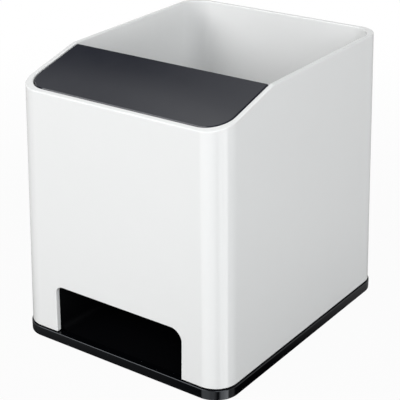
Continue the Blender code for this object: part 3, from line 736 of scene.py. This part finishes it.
def horn_bosses():
    """The two posts beside the horn's throat that its screws go up into."""
    bm = bmesh.new()
    for x, y in horn_screw_places():
        add_cylinder(bm, x, y, SHELL_FLOOR, SHELL_FLOOR + HORN_BOSS_HEIGHT, BOSS_RADIUS)
    return blank_from(bm, "horn_bosses")


def horn_webs():
    """The upright webs that carry the horn on its two screw bosses."""
    bm = bmesh.new()
    low = SHELL_FLOOR + GUSSET_DROP
    high = SHELL_FLOOR + HORN_BOSS_HEIGHT - GUSSET_DROP
    for x, y in horn_screw_places():
        side = math.copysign(1, x)
        ends = sorted((side * THROAT_WIDTH / 4, x - side * (BOSS_RADIUS - HORN_WEB / 2)))
        add_box(bm, (ends[0], y - HORN_WEB / 2, low), (ends[1], y + HORN_WEB / 2, high))
    return blank_from(bm, "horn_webs")


def make_sound_horn(material):
    """The flared duct with its flanges, webs and bosses, cut through by its passage."""
    bm = bmesh.new()
    add_duct(bm, HORN_WALL, 0, 0)
    horn = blank_from(bm, "horn_blank")
    boolean(horn, horn_flanges(), "UNION")
    boolean(horn, horn_webs(), "UNION")
    boolean(horn, horn_bosses(), "UNION")
    boolean(horn, inside_shell("horn_room", GAP), "INTERSECT")
    bm = bmesh.new()
    add_duct(bm, 0, OVERRUN, OVERRUN)
    boolean(horn, blank_from(bm, "horn_passage"), "DIFFERENCE")
    boolean(horn, screw_bores("horn_bores", horn_screw_places()), "DIFFERENCE")
    return piece_from(finished_mesh(horn, "sound_horn"), "sound_horn", material)


def base_posts():
    """Round posts in the tray that the screw bosses stand on."""
    bm = bmesh.new()
    for x, y in boss_places() + horn_screw_places():
        add_cylinder(bm, x, y, BASE_INSIDE - BASE_FLOOR / 2, BASE_TOP, POST_RADIUS)
    return blank_from(bm, "base_posts")


def base_tabs():
    """Upstands that centre the shell's side and back walls."""
    bm = bmesh.new()
    low, high = BASE_INSIDE - BASE_FLOOR / 2, TAB_TOP
    out_x = SHELL_WIDTH / 2 - WALL - lean(high) - GAP
    out_y = SHELL_DEPTH / 2 - WALL - lean(high) - GAP
    corner_y = BOSS_Y - POST_RADIUS - TAB_BERTH
    corner_x = BOSS_X - POST_RADIUS - TAB_BERTH
    for side in (-1, 1):
        x = sorted((side * (out_x - TAB_THICKNESS), side * out_x))
        add_box(bm, (x[0], -corner_y, low), (x[1], RAIL_FRONT - TAB_BERTH, high))
        add_box(bm, (x[0], RAIL_BACK + TAB_BERTH, low), (x[1], corner_y, high))
    add_box(bm, (-corner_x, out_y - TAB_THICKNESS, low), (corner_x, out_y, high))
    return blank_from(bm, "base_tabs")


def base_holes():
    """Screw holes with their counterbores, and the recesses of the feet, from below."""
    shanks, heads = bmesh.new(), bmesh.new()
    for x, y in boss_places() + horn_screw_places():
        add_cylinder(shanks, x, y, FOOT_REVEAL, BASE_TOP + OVERRUN, SHANK_RADIUS + GAP)
        add_cylinder(heads, x, y, -OVERRUN, FOOT_REVEAL + COUNTERBORE, HEAD_RADIUS + GAP)
    for x, y in foot_places():
        add_cylinder(heads, x, y, -OVERRUN, FOOT_REVEAL + FOOT_RECESS, FOOT_RADIUS + GAP)
    return blank_from(shanks, "screw_holes"), blank_from(heads, "counterbores")


def make_base_tray(material):
    """The black base, a shallow tray with posts and upstands."""
    block = rounded_block(BASE_WIDTH, BASE_DEPTH, BASE_CORNER, FOOT_REVEAL, BASE_TOP)
    tray = blank_from(block, "tray_blank")
    round_edges(tray, BASE_EDGE)
    width, depth = BASE_WIDTH - 2 * BASE_RIM, BASE_DEPTH - 2 * BASE_RIM
    pocket = rounded_block(width, depth, BASE_CORNER - BASE_RIM, BASE_INSIDE, BASE_TOP + OVERRUN)
    boolean(tray, blank_from(pocket, "tray_pocket"), "DIFFERENCE")
    boolean(tray, base_posts(), "UNION")
    boolean(tray, base_tabs(), "UNION")
    for holes in base_holes():
        boolean(tray, holes, "DIFFERENCE")
    return piece_from(finished_mesh(tray, "base_tray"), "base_tray", material)


def screw_profile():
    """The screw's half outline from the tip of its shank down to the middle of its head."""
    shank = SHANK_END - HEAD_BEARING
    outline = [
        (0, shank),
        (SHANK_RADIUS / 2, shank),
        (SHANK_RADIUS, shank - SHANK_TIP),
        (SHANK_RADIUS, 0),
        (HEAD_RADIUS, 0),
    ]
    for step in range(EDGE_SEGMENTS + 1):
        angle = math.pi / 2 * step / EDGE_SEGMENTS
        radius = HEAD_RADIUS - HEAD_DOME + HEAD_DOME * math.cos(angle)
        outline.append((radius, HEAD_DOME - HEAD_HEIGHT - HEAD_DOME * math.sin(angle)))
    outline.append((0, -HEAD_HEIGHT))
    return outline


def screw_mesh():
    """A pan-head screw, point up, with a cross recess in its head."""
    bm = bmesh.new()
    verts = [bm.verts.new((x, 0, z)) for x, z in screw_profile()]
    for pair in zip(verts, verts[1:]):
        bm.edges.new(pair)
    screw = blank_from(bm, "screw_blank")
    turn = screw.modifiers.new("turn", "SCREW")
    turn.steps = ROUND_SEGMENTS
    turn.render_steps = ROUND_SEGMENTS
    turn.use_merge_vertices = True
    turn.merge_threshold = MERGE_DISTANCE
    low, high = -HEAD_HEIGHT - OVERRUN, CROSS_DEPTH - HEAD_HEIGHT
    long_half, narrow_half = CROSS_LENGTH / 2, CROSS_WIDTH / 2
    arms = {"cross_x": (long_half, narrow_half), "cross_y": (narrow_half, long_half)}
    for name, (half_x, half_y) in arms.items():
        boolean(screw, box_tool(name, (-half_x, -half_y, low), (half_x, half_y, high)), "DIFFERENCE")
    return finished_mesh(screw, "screw")


def make_screws(material):
    """Six equal screws, four for the shell and two for the horn."""
    mesh = screw_mesh()
    places = dict(zip(["base_screw_" + name for name in CORNER_NAMES], boss_places()))
    places.update(zip(["horn_screw_left", "horn_screw_right"], horn_screw_places()))
    for name, (x, y) in places.items():
        piece_from(mesh.copy(), name, material, (x, y, HEAD_BEARING))


def make_feet(material):
    """Rubber discs set into the tray's underside, which the part stands on."""
    bm = bmesh.new()
    add_cylinder(bm, 0, 0, 0, FOOT_HIGH.z, FOOT_RADIUS)
    rims = [e for e in bm.edges if abs(e.verts[0].co.z - e.verts[1].co.z) < FOOT_EDGE]
    round_off(bm, rims, FOOT_EDGE, EDGE_SEGMENTS)
    mesh = finished_mesh(blank_from(bm, "foot_blank"), "foot")
    for name, (x, y) in zip(CORNER_NAMES, foot_places()):
        piece_from(mesh.copy(), "rubber_foot_" + name, material, (x, y, 0))


def node(tree, kind, inputs=None, **settings):
    """A shader node; each of its inputs is a value or another node's output socket."""
    made = tree.nodes.new("ShaderNode" + kind)
    for name, value in settings.items():
        setattr(made, name, value)
    for name, value in (inputs or {}).items():
        if isinstance(value, bpy.types.NodeSocket):
            tree.links.new(value, made.inputs[name])
        else:
            made.inputs[name].default_value = value
    return made


def smooth_ramp(tree, value, start, end, low, high):
    """A value that goes smoothly from low at start to high at end."""
    inputs = {"Value": value, "From Min": start, "From Max": end, "To Min": low, "To Max": high}
    return node(tree, "MapRange", inputs, interpolation_type="SMOOTHSTEP").outputs["Result"]


def noise(tree, place, size, detail):
    """Even noise from 0 to 1 whose features have a size in metres."""
    inputs = {"Vector": place, "Scale": 1 / size, "Detail": detail, "Roughness": NOISE_ROUGHNESS}
    return node(tree, "TexNoise", inputs).outputs["Fac"]


def maths(tree, operation, first, second, third=0.0):
    """The result of a calculation whose terms are values or other nodes' output sockets."""
    made = node(tree, "Math", operation=operation)
    for socket, value in zip(made.inputs, (first, second, third)):
        if isinstance(value, bpy.types.NodeSocket):
            tree.links.new(value, socket)
        else:
            socket.default_value = value
    return made.outputs["Value"]


def mix(tree, kind, share, first, second):
    """A value or a colour that goes from first to second as share goes from 0 to 1."""
    first_socket, second_socket, result = MIX_SOCKETS[kind]
    inputs = {MIX_SHARE: share, first_socket: first, second_socket: second}
    return node(tree, "Mix", inputs, data_type=kind).outputs[result]


def shows_background(tree):
    """1 for rays from the camera, from gloss and through clear things, and 0 for all others."""
    path = node(tree, "LightPath").outputs
    shown = maths(tree, "MAXIMUM", path["Is Camera Ray"], path["Is Glossy Ray"])
    return maths(tree, "MAXIMUM", shown, path["Is Transmission Ray"])


def moulded_material(name, colour, mottle, roughness, grain_size, grain_depth, **finish_and_painted_tint):
    """A moulded surface: faint cloudiness in the colour, uneven gloss, and a fine grain or orange peel.

    mottle is the share by which the colour varies, roughness its least and greatest value, grain_size and
    grain_depth the grain's width and height in metres. finish holds other inputs of the shader."""
    material = bpy.data.materials.new(name)
    material.use_nodes = True
    tree = material.node_tree
    shader = tree.nodes["Principled BSDF"]
    place = node(tree, "TexCoord").outputs["Object"]
    cloud = noise(tree, place, CLOUD_SIZE, CLOUD_DETAIL)
    tones = [[channel * (1 + side * mottle) for channel in colour] + [1.0] for side in (-1, 1)]
    tree.links.new(mix(tree, "RGBA", cloud, *tones), shader.inputs["Base Color"])
    patches = noise(tree, place, GLOSS_PATCH_SIZE, GLOSS_PATCH_DETAIL)
    gloss = smooth_ramp(tree, patches, *GLOSS_PATCH_SPREAD, *roughness)
    tree.links.new(gloss, shader.inputs["Roughness"])
    grain = noise(tree, place, grain_size, GRAIN_DETAIL)
    bump = node(tree, "Bump", {"Height": grain, "Distance": grain_depth, "Strength": 1.0})
    tree.links.new(bump.outputs["Normal"], shader.inputs["Normal"])
    for socket, value in finish_and_painted_tint.items():
        shader.inputs[socket.replace("_", " ")].default_value = value
    return material


def make_camera():
    """The photograph's camera: a level look at the target from its azimuth and elevation, then a roll."""
    back = direction_to(CAMERA_AZIMUTH, CAMERA_ELEVATION)
    level_right = (-back).cross(Vector((0, 0, 1))).normalized()
    level_up = level_right.cross(-back)
    right = level_right * math.cos(CAMERA_ROLL) + level_up * math.sin(CAMERA_ROLL)
    up = level_up * math.cos(CAMERA_ROLL) - level_right * math.sin(CAMERA_ROLL)
    data = bpy.data.cameras.new("camera")
    data.sensor_width = SENSOR_MM
    data.lens = SENSOR_MM * FOCAL_PIXELS / IMAGE_PIXELS
    camera = bpy.data.objects.new("camera", data)
    turn = Matrix((right, up, back)).transposed().to_4x4()
    camera.matrix_world = Matrix.Translation(Vector(CAMERA_TARGET) + back * CAMERA_DISTANCE) @ turn
    bpy.context.scene.collection.objects.link(camera)
    bpy.context.scene.camera = camera


def make_floor():
    """A grey floor that is nearly white to the camera, so hardly any of the object's shadow shows on it.

    Reflections leave it out, so its answer to glossy rays has no effect, and glossy pieces show the world's
    low strips there."""
    bm = bmesh.new()
    bmesh.ops.create_grid(bm, x_segments=1, y_segments=1, size=FLOOR_HALF)
    floor = bpy.data.objects.new("studio_floor", mesh_from(bm, "studio_floor"))
    material = bpy.data.materials.new("studio_floor")
    material.use_nodes = True
    tree = material.node_tree
    tree.nodes.remove(tree.nodes["Principled BSDF"])
    place = node(tree, "TexCoord").outputs["Object"]
    distance = node(tree, "VectorMath", {0: place}, operation="LENGTH").outputs["Value"]
    share = smooth_ramp(tree, distance, FLOOR_SHADE_START, FLOOR_SHADE_END, FLOOR_WHITE_SHARE, 1.0)
    share = maths(tree, "MULTIPLY", shows_background(tree), share)
    white = node(tree, "Emission", {"Color": WHITE, "Strength": 1.0}).outputs["Emission"]
    pale = node(tree, "BsdfDiffuse", {"Color": FLOOR_COLOUR}).outputs["BSDF"]
    mixed = node(tree, "MixShader", {0: share, 1: pale, 2: white})
    tree.links.new(mixed.outputs["Shader"], tree.nodes["Material Output"].inputs["Surface"])
    floor.data.materials.append(material)
    floor.visible_glossy = False
    bpy.context.scene.collection.objects.link(floor)


def make_world():
    """A studio: a dim dome, a band at the horizon, overhead boxes, a white backdrop and low strips."""
    world = bpy.data.worlds.new("studio")
    world.use_nodes = True
    tree = world.node_tree
    towards = node(tree, "TexCoord").outputs["Generated"]
    axes = node(tree, "SeparateXYZ", {"Vector": towards}).outputs

    def around(direction, cosines, levels):
        """A level that changes with the cosine of the angle to a direction."""
        inputs = {0: towards, 1: direction}
        cosine = node(tree, "VectorMath", inputs, operation="DOT_PRODUCT").outputs["Value"]
        return smooth_ramp(tree, cosine, *cosines, *levels)

    band = around((1, 0, 0), (-1.0, 1.0), HORIZON_LEVELS)
    band_share = smooth_ramp(tree, axes["Z"], *HORIZON_HEIGHTS, 1.0, 0.0)
    light = maths(tree, "MULTIPLY_ADD", band, band_share, DOME_LEVEL)
    for box_azimuth, box_elevation, edge, full, level in OVERHEAD_BOXES:
        cosines = [math.cos(math.radians(angle)) for angle in (edge, full)]
        box = around(direction_to(box_azimuth, box_elevation), cosines, (0.0, level))
        light = maths(tree, "ADD", light, box)
    backdrop = smooth_ramp(tree, axes["Z"], *BACKDROP_HEIGHTS, 1.0, 0.0)
    backdrop = maths(tree, "MULTIPLY", shows_background(tree), backdrop)
    above = mix(tree, "FLOAT", backdrop, light, 1.0)

    azimuth = maths(tree, "ARCTAN2", axes["X"], maths(tree, "MULTIPLY", axes["Y"], -1.0))
    below = smooth_ramp(tree, axes["Z"], *LOW_HEIGHTS, *LOW_LEVELS)
    for start, full, fade, end, level in STRIPS:
        rise = smooth_ramp(tree, azimuth, math.radians(start), math.radians(full), 0.0, level)
        fall = smooth_ramp(tree, azimuth, math.radians(fade), math.radians(end), 1.0, 0.0)
        below = maths(tree, "MULTIPLY_ADD", rise, fall, below)
    upper = smooth_ramp(tree, axes["Z"], *LOW_EDGE, 0.0, 1.0)
    strength = mix(tree, "FLOAT", upper, below, above)
    background = tree.nodes["Background"]
    background.inputs["Color"].default_value = WHITE
    tree.links.new(strength, background.inputs["Strength"])
    bpy.context.scene.world = world


def soft_light(name, azimuth, elevation, level, colour):
    """A square soft light aimed at the object's middle. level is what a white surface facing it shows."""
    data = bpy.data.lights.new(name, "AREA")
    data.size = SOFT_BOX_SIZE
    data.energy = level * (math.pi * SOFT_BOX_DISTANCE) ** 2
    data.color = colour
    back = direction_to(azimuth, elevation)
    light = bpy.data.objects.new(name, data)
    light.location = Vector((0, 0, HEIGHT / 2)) + back * SOFT_BOX_DISTANCE
    light.rotation_euler = back.to_track_quat("Z", "Y").to_euler()
    bpy.context.scene.collection.objects.link(light)


make_camera()
make_floor()
make_world()
for soft_box in SOFT_BOXES:
    soft_light(*soft_box)
white_plastic = moulded_material(
    "white_gloss_plastic", colour=(0.865, 0.87, 0.865), mottle=0.006, roughness=(0.03, 0.05),
    grain_size=0.0016, grain_depth=0.000001,
)
deck_plastic = moulded_material(
    "dark_grey_plastic", colour=(0.0175, 0.0195, 0.028), mottle=0.05, roughness=(0.06, 0.08),
    grain_size=0.0005, grain_depth=0.0000005,
)
inner_plastic = moulded_material(
    "inner_grey_plastic", colour=(0.030, 0.031, 0.034), mottle=0.06, roughness=(0.42, 0.52),
    grain_size=0.0004, grain_depth=0.000006,
)
# The base's bluish specular tint is a painted bluish cast in its reflections, where the plastic alone would
# reflect the light untinted
base_plastic = moulded_material(
    "black_base_plastic", colour=(0.0012, 0.0014, 0.002), mottle=0.08, roughness=(0.08, 0.11),
    grain_size=0.0005, grain_depth=0.000001, Specular_Tint=(0.88, 0.93, 1.0, 1.0),
)
horn_plastic = moulded_material(
    "black_horn_plastic", colour=(0.0015, 0.0016, 0.002), mottle=0.10, roughness=(0.30, 0.36),
    grain_size=0.0005, grain_depth=0.000003, Specular_IOR_Level=0.008,
)
steel = moulded_material(
    "zinc_plated_steel", colour=(0.55, 0.55, 0.56), mottle=0.10, roughness=(0.25, 0.40),
    grain_size=0.0002, grain_depth=0.000004, Metallic=1.0,
)
rubber = moulded_material(
    "black_rubber", colour=(0.020, 0.020, 0.021), mottle=0.12, roughness=(0.75, 0.90),
    grain_size=0.0003, grain_depth=0.00001,
)
make_base_tray(base_plastic)
make_outer_shell(white_plastic)
make_deck_panel(deck_plastic)
make_partition(inner_plastic)
make_pen_floor(inner_plastic)
make_sound_horn(horn_plastic)
make_screws(steel)
make_feet(rubber)
bpy.context.scene.view_settings.view_transform = "Standard"
